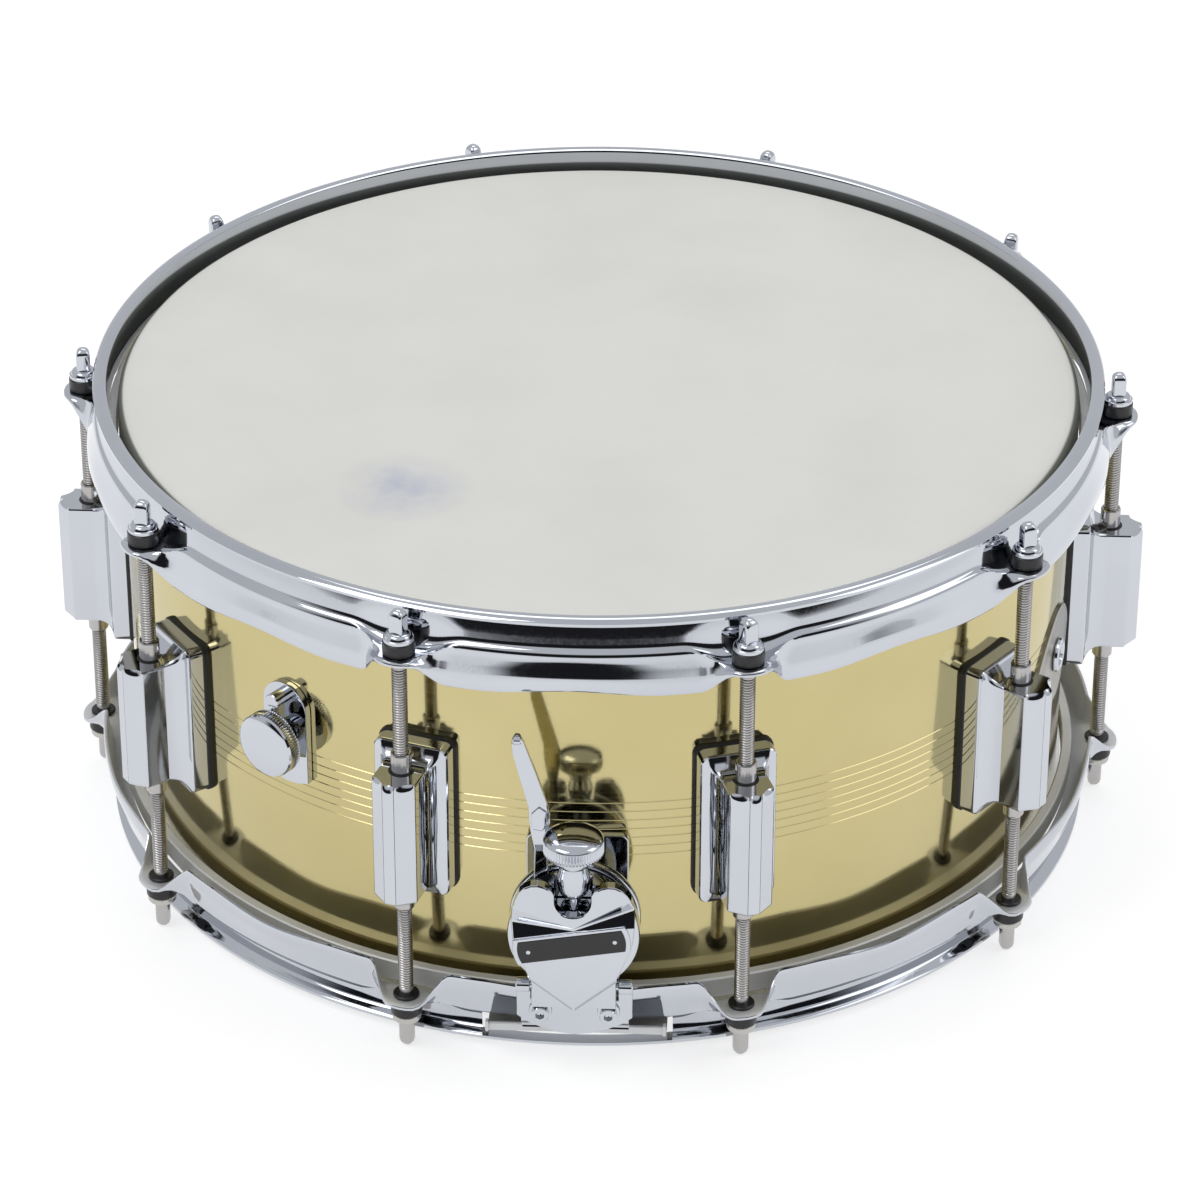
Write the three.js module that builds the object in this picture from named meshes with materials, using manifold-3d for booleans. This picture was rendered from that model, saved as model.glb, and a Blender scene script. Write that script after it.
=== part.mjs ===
// A 14 x 6.5 inch brass snare drum with ten double-ended lugs, in millimetres, +Z up.
// The drum is laid out from the middle of its shell; the finished group is then lowered so that
// the origin is the centre of the batter head's playing surface.
// Azimuth is measured from -Y (the strainer) towards +X.

import * as THREE from "three";
import { mergeVertices } from "three/addons/utils/BufferGeometryUtils.js";
import Module from "manifold-3d";

const wasm = await Module();
wasm.setup();

// ---- driving dimensions (heights are from the middle of the shell) ----
const HEAD_Z = 82.8; // playing surface of either head
const SHELL_R = 177.5;
const SHELL_WALL = 2.0;
const SHELL_EDGE_Z = 82.2;
const ROUND = 50; // facets around the shell, heads and flesh hoops

const LUGS = 10;
const LUG_STEP = 360 / LUGS;
const FIRST_LUG = 18;
const ROD_CIRCLE_R = 193;
const ROD_R = 2.7;
const ROD_APEX_Z = 89.6;
const LOWER_ROD_TIP_Z = 91.6;
const EAR_Z = 72.3;

const HOOP_RIM_Z = 88.9;
const HOOP_FACETS = 80;
const GATE_HALF = 34;

const STRAINER_X = 1.3; // the strainer sits a touch to the right of the rods' mid-line
const STRAINER_Z = -25;
const STRAINER_R = 23;
const KNOB_AXIS_R = 207.6;
const CLAMP_R = 200.5;
const STRAP_FOOT_R = 193.8;
const STRAP_TAB_R = 198.9;
const KNUCKLE_R = 203.6;
const KNUCKLE_Z = -50.2;

const MUFFLER_AZ = -35.3;
const MUFFLER_SHAFT_Z = 15;
const BADGE_AZ = 75.5;
const BADGE_Z = -6;
const BADGE_HALF = 27;
const BADGE_RISE = 19;

const SNARE_WIRES = 20;
const WIRE_PITCH = 3.2;
const WIRE_Z = -83.7;
const SNARE_HALF_LENGTH = 160;

// ---- materials ----
const finish = (color, roughness, metalness) =>
  new THREE.MeshStandardMaterial({ color, roughness, metalness });
const BRASS = finish(0xcdbb6c, 0.25, 1);
const CHROME = finish(0xd4d8de, 0.08, 1);
const STEEL = finish(0xa9a9a6, 0.3, 1);
const ALUMINIUM = finish(0xc9cbcc, 0.35, 1);
const COATED_FILM = finish(0xcecdc8, 0.8, 0);
const CLEAR_FILM = finish(0xdfe3e4, 0.3, 0);
const BLACK = finish(0x16171a, 0.45, 0);
const FELT = finish(0xe6e2d6, 1, 0);
const BADGE_GREY = finish(0x8e8c88, 0.4, 1);

// ---- solids ----
function solid(geometry) {
  const bare = geometry.index ? geometry.toNonIndexed() : geometry.clone();
  bare.deleteAttribute("normal");
  bare.deleteAttribute("uv");
  const merged = mergeVertices(bare, 1e-4);
  const corners = merged.index.array;
  const triangles = [];
  for (let i = 0; i < corners.length; i += 3) {
    const [a, b, c] = [corners[i], corners[i + 1], corners[i + 2]];
    if (a !== b && b !== c && c !== a) triangles.push(a, b, c);
  }
  return new wasm.Manifold(
    new wasm.Mesh({
      numProp: 3,
      vertProperties: new Float32Array(merged.attributes.position.array),
      triVerts: new Uint32Array(triangles),
    }),
  );
}

function geometryOf(body) {
  const mesh = body.getMesh();
  const geometry = new THREE.BufferGeometry();
  geometry.setAttribute("position", new THREE.BufferAttribute(mesh.vertProperties, 3));
  geometry.setIndex(new THREE.BufferAttribute(mesh.triVerts, 1));
  geometry.computeVertexNormals();
  return geometry;
}

const union = (bodies) => bodies.reduce((whole, body) => whole.add(body));
const cut = (body, tools) => tools.reduce((rest, tool) => rest.subtract(tool), body);

// A closed [radius, height] profile turned about +Z.
function turned(profile, facets, phase = 0) {
  const points = profile.map(([r, z]) => new THREE.Vector2(r, z));
  let area = 0;
  points.forEach((p, i) => {
    const q = points[(i + 1) % points.length];
    area += p.x * q.y - q.x * p.y;
  });
  if (area < 0) points.reverse();
  if (points.every((p) => p.x > 0)) points.push(points[0].clone());
  const lathe = new THREE.LatheGeometry(points, facets, THREE.MathUtils.degToRad(phase));
  return lathe.rotateX(Math.PI / 2);
}

// A flat outline of [across, up] points, standing upright and facing -Y, from radius near to far.
function plate(outline, near, far, holes = []) {
  const shape = new THREE.Shape(outline.map(([x, z]) => new THREE.Vector2(x, z)));
  for (const hole of holes) {
    shape.holes.push(new THREE.Path(hole.map(([x, z]) => new THREE.Vector2(x, z))));
  }
  const slab = new THREE.ExtrudeGeometry(shape, { depth: far - near, bevelEnabled: false });
  return slab.rotateX(Math.PI / 2).translate(0, -near, 0);
}

// A flat outline of [across, outward] points laid level, from height low to high.
function level(outline, low, high) {
  const shape = new THREE.Shape(outline.map(([x, out]) => new THREE.Vector2(x, -out)));
  const slab = new THREE.ExtrudeGeometry(shape, { depth: high - low, bevelEnabled: false });
  return slab.translate(0, 0, low);
}

// An [outward, up] outline swept across from left to right.
function sideways(outline, left, right) {
  const shape = new THREE.Shape(outline.map(([out, z]) => new THREE.Vector2(-out, z)));
  const slab = new THREE.ExtrudeGeometry(shape, { depth: right - left, bevelEnabled: false });
  return slab.applyMatrix4(
    new THREE.Matrix4().set(0, 0, 1, left, 1, 0, 0, 0, 0, 1, 0, 0, 0, 0, 0, 1),
  );
}

// A block facing -Y: across x0..x1, outward near..far, up z0..z1.
function block(x0, x1, near, far, z0, z1) {
  const box = new THREE.BoxGeometry(x1 - x0, far - near, z1 - z0);
  return box.translate((x0 + x1) / 2, -(near + far) / 2, (z0 + z1) / 2);
}

// A round bar pointing outwards along -Y, and one lying across along X.
function radialBar(radius, near, far, x, z, facets = 16) {
  const bar = new THREE.CylinderGeometry(radius, radius, far - near, facets);
  return bar.translate(x, -(near + far) / 2, z);
}

function crossBar(radius, left, right, out, z, facets = 10) {
  const bar = new THREE.CylinderGeometry(radius, radius, right - left, facets);
  return bar.rotateZ(Math.PI / 2).translate((left + right) / 2, -out, z);
}

// Points of an arc from one angle to another (degrees, 0 is +X and 90 is up), both ends included.
function arc(radius, x, z, from, to, steps) {
  return Array.from({ length: steps + 1 }, (_, i) => {
    const t = THREE.MathUtils.degToRad(from + ((to - from) * i) / steps);
    return [x + radius * Math.cos(t), z + radius * Math.sin(t)];
  });
}

// ---- scene graph ----
const group = new THREE.Group();
const drum = new THREE.Group();
drum.position.z = -HEAD_Z;
group.add(drum);

function place(name, shape, material, azimuth = 0) {
  const mesh = new THREE.Mesh(geometryOf(shape.getMesh ? shape : solid(shape)), material);
  mesh.name = name;
  mesh.rotation.z = THREE.MathUtils.degToRad(azimuth);
  drum.add(mesh);
  return mesh;
}

const azimuths = Array.from({ length: LUGS }, (_, i) => FIRST_LUG + LUG_STEP * i);
const turnTo = (geometry, azimuth) => geometry.rotateZ(THREE.MathUtils.degToRad(azimuth));

// ---- shell: a spun brass tube with turned-in bearing edges ----
function makeShell() {
  const inner = SHELL_R - SHELL_WALL;
  const tube = solid(
    turned(
      [
        [175.6, -SHELL_EDGE_Z],
        [SHELL_R, -80],
        [SHELL_R, 80],
        [175.6, SHELL_EDGE_Z],
        [171.5, 80.2],
        [inner, 76],
        [inner, -76],
        [171.5, -80.2],
      ],
      ROUND,
    ),
  );
  const holes = [
    turnTo(radialBar(2.5, 160, 190, 0, MUFFLER_SHAFT_Z, 12), MUFFLER_AZ),
    turnTo(radialBar(4.8, 160, 190, 0, BADGE_Z, 16), BADGE_AZ),
  ];
  return cut(tube, holes.map(solid));
}
place("shell", makeShell(), BRASS);

// ---- heads and their flesh hoops; side is +1 for the batter, -1 for the snare side ----
function makeHead(side) {
  return turned(
    [
      [0, HEAD_Z],
      [176, HEAD_Z],
      [178.7, 80.4],
      [178.7, 70],
      [178.2, 70],
      [178.2, 80.1],
      [175.8, HEAD_Z - 0.3],
      [0, HEAD_Z - 0.3],
    ].map(([r, z]) => [r, side * z]),
    ROUND,
  );
}
place("batter_head", makeHead(1), COATED_FILM);
place("snare_head", makeHead(-1), CLEAR_FILM);

function makeFleshHoop(side) {
  return turned(
    [
      [179.1, 73.1],
      [183, 73.1],
      [183, 65],
      [179.1, 65],
    ].map(([r, z]) => [r, side * z]),
    ROUND,
  );
}
place("batter_flesh_hoop", makeFleshHoop(1), ALUMINIUM);
place("snare_flesh_hoop", makeFleshHoop(-1), ALUMINIUM);

// ---- counter hoops: rolled rim, wall, shelf and a skirt that flattens into an ear at each rod ----
const HOOP_BETWEEN = [
  [182.5, 88.9],
  [186.6, 88.9],
  [187.8, 87.2],
  [184.4, 85.6],
  [184.7, 78.2],
  [186, 77.1],
  [188.2, 76.6],
  [188.7, 73.2],
  [190.6, 67],
  [190.5, 62.5],
  [188.6, 62.9],
  [182.5, 75.4],
];
const HOOP_EAR = [
  [182.5, 88.9],
  [186.6, 88.9],
  [187.8, 87.2],
  [184.4, 85.6],
  [184.5, 77],
  [186.2, 74.2],
  [188, EAR_Z],
  [194, EAR_Z],
  [200.4, EAR_Z],
  [200.2, EAR_Z - 2],
  [187.4, EAR_Z - 2],
  [182.5, 74.5],
];

// 1 on an ear, 0 between ears, with a smooth shoulder; the skirt reaches further out at an ear.
function earness(azimuth) {
  const away = Math.abs(THREE.MathUtils.euclideanModulo(azimuth - FIRST_LUG + 18, 36) - 18);
  return 1 - THREE.MathUtils.smoothstep(away, 2.5, 6.6);
}

function makeHoop(side) {
  const geometry = turned(HOOP_BETWEEN, HOOP_FACETS, FIRST_LUG);
  const position = geometry.attributes.position;
  const find = (r, z) =>
    HOOP_BETWEEN.findIndex((p) => Math.hypot(p[0] - r, p[1] - z) < 0.01);
  for (let i = 0; i < position.count; i++) {
    const [x, y, z] = [position.getX(i), position.getY(i), position.getZ(i)];
    const j = find(Math.hypot(x, y), z);
    // Facets are drawn together at the ears and spread out between them.
    const even = Math.atan2(x, -y);
    const phase = (even - THREE.MathUtils.degToRad(FIRST_LUG)) * LUGS;
    const azimuth = even - 0.05 * Math.sin(phase);
    const ear = earness(THREE.MathUtils.radToDeg(azimuth));
    const r = THREE.MathUtils.lerp(HOOP_BETWEEN[j][0], HOOP_EAR[j][0], ear);
    const h = THREE.MathUtils.lerp(HOOP_BETWEEN[j][1], HOOP_EAR[j][1], ear);
    position.setXYZ(i, r * Math.sin(azimuth), -r * Math.cos(azimuth), h);
  }
  const rodHoles = azimuths.map((azimuth) => {
    const drill = new THREE.CylinderGeometry(3.7, 3.7, 12, 8).rotateX(Math.PI / 2);
    return turnTo(drill.translate(0, -ROD_CIRCLE_R, EAR_Z), azimuth);
  });
  const hoop = cut(solid(geometry), rodHoles.map(solid));
  return side > 0 ? hoop : hoop.mirror([0, 0, 1]);
}
place("batter_hoop", makeHoop(1), CHROME);

// The snare-side hoop has a gate front and back, where the snares pass out to their clamps.
const gates = [
  block(STRAINER_X - GATE_HALF, STRAINER_X + GATE_HALF, 170, 190.5, -87, -76.9),
  turnTo(block(-GATE_HALF, GATE_HALF, 170, 190.5, -87, -76.9), 180),
];
place("snare_hoop", cut(makeHoop(-1), gates.map(solid)), CHROME);

// ---- lugs: a base plate on its gasket, and a three-sided column bored for a rod at each end ----
function makeLug() {
  const base = block(-14.5, 14.5, 177.9, 184.6, -31, 31);
  const column = level(
    [
      [-8.2, 184],
      [-8.2, 200.4],
      [-7.7, 201],
      [-2.15, 205.4],
      [2.15, 205.4],
      [7.7, 201],
      [8.2, 200.4],
      [8.2, 184],
    ],
    -24.5,
    24.5,
  );
  const bore = new THREE.CylinderGeometry(3.2, 3.2, 60, 8).rotateX(Math.PI / 2);
  bore.translate(0, -ROD_CIRCLE_R, 0);
  return cut(solid(base).add(solid(column)), [solid(bore)]);
}
const lug = makeLug();
azimuths.forEach((azimuth, i) => place(`lug_${i + 1}`, lug, CHROME, azimuth));

// ---- tension rods: thread, nylon and steel washers, collar and square-sided head ----
function makeRod(apex) {
  const seat = EAR_Z + 0.3;
  const rod = turned(
    [
      [0, 6],
      [ROD_R, 7],
      [ROD_R, seat],
      [4.8, seat],
      [5.65, seat + 1.8],
      [5.2, seat + 7.4],
      [3.2, seat + 8.2],
      [2.9, apex - 1.4],
      [0, apex],
    ],
    8,
    22.5,
  );
  return rod.translate(0, -ROD_CIRCLE_R, 0);
}
const upperRod = solid(makeRod(ROD_APEX_Z));
const lowerRod = solid(makeRod(LOWER_ROD_TIP_Z)).mirror([0, 0, 1]);
azimuths.forEach((azimuth, i) => {
  place(`batter_rod_${i + 1}`, upperRod, STEEL, azimuth);
  place(`snare_rod_${i + 1}`, lowerRod, STEEL, azimuth);
});

// ---- strainer: a bracket on the shell, a lever that turns on its boss, and the drum in front ----
const strainer = (geometry) => geometry.translate(STRAINER_X, 0, 0);

function makeStrainerBracket() {
  return union(
    [
      block(-18, 18, 178.1, 181, -52, -2),
      radialBar(13, 180, 195, 0, STRAINER_Z, 20),
      radialBar(STRAINER_R, 194.6, 198.2, 0, STRAINER_Z, 32),
      radialBar(6, 197, 201.8, 0, STRAINER_Z, 16),
    ].map((g) => solid(strainer(g))),
  );
}
place("strainer_bracket", makeStrainerBracket(), CHROME);

const LEVER_OUTLINE = [
  [-14.2, -12],
  [-13.9, 5],
  [-15.6, 15],
  [-15.4, 22],
  [-19.6, 43],
  [-19.4, 49.6],
  [-17.4, 51],
  [-15.8, 49],
  [-12.4, 36],
  [-9.3, 24],
  [-8.2, 15],
  [-9.6, 6],
  [-8.6, -12],
];

function makeLever() {
  const disc = radialBar(21, 198.6, 201.4, STRAINER_X, STRAINER_Z, 32);
  const arm = plate(LEVER_OUTLINE, 198.8, 201.2);
  const thumb = crossBar(1.9, -20.2, -15.2, 200.6, 49, 8);
  const bore = radialBar(6.4, 190, 210, STRAINER_X, STRAINER_Z, 16);
  return cut(union([disc, arm, thumb].map(solid)), [solid(bore)]);
}
place("strainer_lever", makeLever(), CHROME);

function makeStrainerBody() {
  const drumBody = radialBar(STRAINER_R, 202.2, 209.6, 0, STRAINER_Z, 32);
  const carriageSlot = block(-15.3, 15.3, 201, 211, -60, -37.5);
  const knobRecess = block(-6.6, 6.6, 201, 211, -14.5, 5);
  const screwHole = new THREE.CylinderGeometry(2.3, 2.3, 14, 12).rotateX(Math.PI / 2);
  screwHole.translate(0, -KNOB_AXIS_R, -18);
  const tools = [carriageSlot, knobRecess, screwHole].map((g) => solid(strainer(g)));
  return cut(solid(strainer(drumBody)), tools);
}
place("strainer_body", makeStrainerBody(), CHROME);

// The face plate is heart-shaped, with a rounded notch for the knob's stem.
const FACE_OUTLINE = [
  [6.4, -4.6],
  [10, -2],
  [14.5, -1.4],
  [18.5, -4.4],
  [21, -10],
  [21.6, -17],
  [20.6, -27],
  [15.8, -38.6],
  [15.4, -43],
  [0.3, -56],
  [-15.4, -43],
  [-15.8, -38.6],
  [-20.6, -27],
  [-21.6, -17],
  [-21, -10],
  [-18.5, -4.4],
  [-14.5, -1.4],
  [-10, -2],
  [-6.4, -4.6],
  ...arc(6.4, 0, -8, 180, 360, 6),
];
place("strainer_face", strainer(plate(FACE_OUTLINE, 209.9, 214.3)), CHROME);

function makeBand() {
  const outline = [
    [-18.9, -4.6],
    [18.9, -4.6],
    [19.7, 0],
    [18.9, 4.6],
    [-18.9, 4.6],
    [-19.7, 0],
  ];
  const band = plate(outline, 214.6, 215.6);
  return strainer(band.rotateY(THREE.MathUtils.degToRad(-9.8)).translate(0, 0, -25.8));
}
place("strainer_band", makeBand(), BLACK);

function makeStrainerKnob() {
  const knob = turned(
    [
      [0, -19],
      [1.9, -18.4],
      [1.9, -8.2],
      [4.2, -7.2],
      [5.7, -3.4],
      [5.7, 8.6],
      [10.5, 8.6],
      [10.5, 14.4],
      [8.6, 15.6],
      [0, 17],
    ],
    20,
  );
  return strainer(knob.translate(0, -KNOB_AXIS_R, 0));
}
place("strainer_knob", makeStrainerKnob(), CHROME);

// The carriage slides in the strainer body; its two pins carry the snare clamp.
function makeCarriage() {
  const slide = block(-14.8, 14.8, 202.6, 208.8, -56.4, -41);
  const pins = crossBar(1.3, -20.6, 20.6, KNUCKLE_R, KNUCKLE_Z, 10);
  return solid(strainer(slide)).add(solid(strainer(pins)));
}
place("strainer_carriage", makeCarriage(), STEEL);

// ---- snares: wires, straps through the gates, and the clamp that hangs from the carriage ----
const CLAMP_SCREWS = [-12, 12];
const CLAMP_SCREW_Z = -61.8;

function makeClampPlate() {
  const outline = [
    [-20.4, -50.8],
    [-15.4, -50.8],
    [-15.4, -57.4],
    [15.4, -57.4],
    [15.4, -50.8],
    [20.4, -50.8],
    [20.4, -64.6],
    [12, -69.6],
    [0, -72.4],
    [-12, -69.6],
    [-20.4, -64.6],
  ];
  const knuckles = [
    crossBar(2.6, -20.4, -15.4, KNUCKLE_R, KNUCKLE_Z, 10),
    crossBar(2.6, 15.4, 20.4, KNUCKLE_R, KNUCKLE_Z, 10),
  ];
  const bores = [
    crossBar(1.7, -30, 30, KNUCKLE_R, KNUCKLE_Z, 10),
    ...CLAMP_SCREWS.map((x) => radialBar(2.1, 190, 210, x, CLAMP_SCREW_Z, 10)),
  ];
  const shapes = [plate(outline, CLAMP_R, CLAMP_R + 1.7), ...knuckles];
  const toSolid = (g) => solid(strainer(g));
  return cut(union(shapes.map(toSolid)), bores.map(toSolid));
}
place("snare_clamp_plate", makeClampPlate(), CHROME);

function makeScrew(near, length, headLength) {
  const profile = [
    [0, near - length],
    [1.7, near - length],
    [1.7, near],
    [3.4, near],
    [3.4, near + headLength - 0.6],
    [2.8, near + headLength],
    [0, near + headLength],
  ];
  return turned(profile, 10).rotateX(Math.PI / 2);
}
CLAMP_SCREWS.forEach((x, i) => {
  const screw = makeScrew(CLAMP_R + 2, 3.8, 4);
  place(`snare_clamp_screw_${i + 1}`, strainer(screw.translate(x, 0, CLAMP_SCREW_Z)), STEEL);
});

// A strap runs from the wires' end plate out through its gate, then turns up into the clamp.
function makeStrap(rise) {
  const inner = SNARE_HALF_LENGTH + 0.3;
  const sheet = sideways(
    [
      [inner, WIRE_Z - 0.5],
      [180.4, WIRE_Z - 0.5],
      [188, -80.2],
      [193.4, -77.4],
      [STRAP_FOOT_R + 1.3, -76.6],
      [STRAP_FOOT_R + 1.3, -73.4],
      [STRAP_FOOT_R, -73.4],
      [STRAP_FOOT_R, -75.8],
      [187.6, -79.2],
      [180, WIRE_Z + 0.5],
      [inner, WIRE_Z + 0.5],
    ],
    -32,
    32,
  );
  const tab = sideways(
    [
      [STRAP_FOOT_R, -74.8],
      [STRAP_FOOT_R, -72.6],
      [STRAP_TAB_R, -67.6],
      [STRAP_TAB_R, rise],
      [STRAP_TAB_R + 1.3, rise],
      [STRAP_TAB_R + 1.3, -68.1],
      [STRAP_FOOT_R + 1.3, -73.1],
      [STRAP_FOOT_R + 1.3, -74.8],
    ],
    -19,
    19,
  );
  return solid(sheet).add(solid(tab));
}

function makeFrontStrap() {
  const strap = makeStrap(-57.8).translate([STRAINER_X, 0, 0]);
  const bores = CLAMP_SCREWS.map((x) => radialBar(2.1, 190, 210, x, CLAMP_SCREW_Z, 10));
  return cut(strap, bores.map((g) => solid(strainer(g))));
}
place("snare_strap", makeFrontStrap(), STEEL);

function makeWires() {
  const half = SNARE_HALF_LENGTH;
  const width = ((SNARE_WIRES - 1) * WIRE_PITCH) / 2;
  const bodies = [
    block(-width - 2, width + 2, half - 13, half, WIRE_Z - 0.45, WIRE_Z + 0.45),
    block(-width - 2, width + 2, -half, -half + 13, WIRE_Z - 0.45, WIRE_Z + 0.45),
  ];
  for (let i = 0; i < SNARE_WIRES; i++) {
    const x = i * WIRE_PITCH - width;
    bodies.push(block(x - 0.5, x + 0.5, -half + 12, half - 12, WIRE_Z - 0.4, WIRE_Z + 0.4));
  }
  return union(bodies.map(solid));
}
place("snare_wires", makeWires(), STEEL);

// ---- butt end, opposite the strainer: a block on the shell and a clamp plate ----
const BUTT_SCREWS = [-12, 12];
const BUTT_SCREW_Z = -50;
const buttBores = () => BUTT_SCREWS.map((x) => radialBar(2.1, 183, 215, x, BUTT_SCREW_Z, 10));

function makeButtBlock() {
  const shapes = [
    block(-18, 18, 178.1, 181.2, -61, -30),
    block(-19, 19, 180, 198.5, -61, -42),
  ];
  return cut(union(shapes.map(solid)), buttBores().map(solid));
}
place("butt_block", makeButtBlock(), CHROME, 180);

const rearStrap = makeStrap(-43);
place("snare_rear_strap", cut(rearStrap, buttBores().map(solid)), STEEL, 180);

function makeButtPlate() {
  const outline = [
    [-20.4, -43],
    [-20.4, -61],
    [-12, -65.5],
    [0, -67],
    [12, -65.5],
    [20.4, -61],
    [20.4, -43],
    [14, -40],
    [-14, -40],
  ];
  return cut(solid(plate(outline, CLAMP_R, CLAMP_R + 1.7)), buttBores().map(solid));
}
place("butt_plate", makeButtPlate(), CHROME, 180);
BUTT_SCREWS.forEach((x, i) => {
  const screw = makeScrew(CLAMP_R + 2, 14, 4).translate(x, 0, BUTT_SCREW_Z);
  place(`butt_screw_${i + 1}`, screw, STEEL, 180);
});

// ---- internal muffler: outside plate and knob, inside arm with a felt pad under the head ----
function makeMufflerPlate() {
  const outline = [...arc(10, 0, 26, 0, 180, 8), [-10, -2.6], [0, -4.9], [10, -2.6]];
  const post = radialBar(2.8, 180, 187, 0, 31.4, 12);
  const hole = arc(2.5, 0, MUFFLER_SHAFT_Z, 0, -330, 11);
  return solid(plate(outline, 178, 180.2, [hole])).add(solid(post));
}
place("muffler_plate", makeMufflerPlate(), CHROME, MUFFLER_AZ);

function makeMufflerKnob() {
  const knob = turned(
    [
      [0, 167],
      [4.6, 167],
      [4.6, 169.4],
      [1.9, 169.4],
      [1.9, 181],
      [5, 181],
      [5, 185.4],
      [12, 185.4],
      [12, 190.6],
      [10.4, 192.2],
      [0, 192.8],
    ],
    16,
  );
  return knob.rotateX(Math.PI / 2).translate(0, 0, MUFFLER_SHAFT_Z);
}
place("muffler_knob", makeMufflerKnob(), CHROME, MUFFLER_AZ);

function makeMufflerArm() {
  const bar = sideways(
    [
      [172.4, 4],
      [172.4, 66],
      [171, 68],
      [132, 68],
      [132, 66],
      [169, 66],
      [170, 65],
      [170, 4],
    ],
    -8,
    8,
  );
  const slot = block(-2.4, 2.4, 165, 176, 6.8, 17.6);
  return cut(solid(bar), [solid(slot)]);
}
place("muffler_arm", makeMufflerArm(), STEEL, MUFFLER_AZ);
place("muffler_pad", block(-20, 20, 134, 158, 68.3, 76.5), FELT, MUFFLER_AZ);

// ---- badge and its hollow vent grommet ----
function makeBadge() {
  const ring = turned(
    [
      [177.8, -40],
      [178.6, -40],
      [178.6, 40],
      [177.8, 40],
    ],
    ROUND,
  );
  const across = Array.from({ length: 9 }, (_, i) => BADGE_HALF * (i / 4 - 1));
  const bow = (x) => BADGE_RISE * (1 - (x / BADGE_HALF) ** 2);
  const outline = [
    ...across.map((x) => [x, BADGE_Z - bow(x)]),
    ...across.slice(1, -1).reverse().map((x) => [x, BADGE_Z + bow(x)]),
  ];
  const prism = turnTo(plate(outline, 150, 200), BADGE_AZ);
  const vent = turnTo(radialBar(4.8, 150, 200, 0, BADGE_Z, 16), BADGE_AZ);
  return solid(ring).intersect(solid(prism)).subtract(solid(vent));
}
place("vent_badge", makeBadge(), BADGE_GREY);

function makeGrommet() {
  const ring = turned(
    [
      [3.2, 173],
      [4.4, 173],
      [4.4, 178.9],
      [6.6, 178.9],
      [6, 180.4],
      [3.2, 180.4],
    ],
    12,
  );
  return ring.rotateX(Math.PI / 2).translate(0, 0, BADGE_Z);
}
place("vent_grommet", makeGrommet(), CHROME, BADGE_AZ);

export default group;
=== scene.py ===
"""Looks of the brass snare drum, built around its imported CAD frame.

Shapes are laid out in millimetres from the middle of the shell, facing -Y, then turned to their
azimuth about the drum's axis (from -Y towards +X) and lowered so that the batter head is at z = 0.
"""

from math import cos, pi, radians, sin, sqrt

import bmesh
import bpy
from mathutils import Matrix, Vector, noise


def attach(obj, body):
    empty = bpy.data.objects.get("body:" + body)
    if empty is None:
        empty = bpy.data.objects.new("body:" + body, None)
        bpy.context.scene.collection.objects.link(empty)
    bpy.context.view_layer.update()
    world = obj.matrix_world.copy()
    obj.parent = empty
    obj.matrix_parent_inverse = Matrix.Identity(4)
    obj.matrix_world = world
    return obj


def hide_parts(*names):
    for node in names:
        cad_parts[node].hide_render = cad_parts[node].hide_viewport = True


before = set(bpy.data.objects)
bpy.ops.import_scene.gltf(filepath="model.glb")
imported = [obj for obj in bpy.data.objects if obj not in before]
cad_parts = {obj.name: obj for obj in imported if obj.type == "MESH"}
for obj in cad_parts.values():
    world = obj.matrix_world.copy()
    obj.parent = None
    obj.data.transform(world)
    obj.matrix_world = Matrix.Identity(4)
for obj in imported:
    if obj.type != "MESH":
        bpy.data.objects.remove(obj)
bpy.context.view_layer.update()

# ---- driving dimensions, as in the CAD (mm from the middle of the shell) ----
HEAD_Z = 82.8
SHELL_R = 177.5
LUGS = 10
HALF_PITCH = 180 // LUGS  # degrees from a rod to the middle of the span beside it
AZIMUTHS = [HALF_PITCH * (2 * i + 1) for i in range(LUGS)]
ROD_R = 193
EAR_Z = 72.3
STRAINER_X = 1.3
STRAINER_Z = -25
KNOB_R = 207.6
CLAMP_R = 200.5
CLAMP_THICK = 1.7
KNUCKLE_R = 203.6
KNUCKLE_Z = -50.2
CLAMP_SCREW_Z = -61.8
BUTT_SCREW_Z = -50
STRAP_FOOT_R = 193.8
STRAP_TAB_R = 198.9
MUFFLER_AZ = -35.3
MUFFLER_Z = 15
BADGE_AZ = 75.5
BADGE_Z = -6
GATE_HALF = 34
WIRE_Z = -83.75
FLOOR_Z = -91.7
SMUDGE = (-0.065, -0.088, HEAD_Z / 1000)  # metres, in the batter film's own coordinates
COATING_AND_SHADE_EDGE = (0.1764, 0.1772)  # radii in metres between which the white coating gives way to darker grey: the bare film at the edge, with painted shade from the hoop over it
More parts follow.
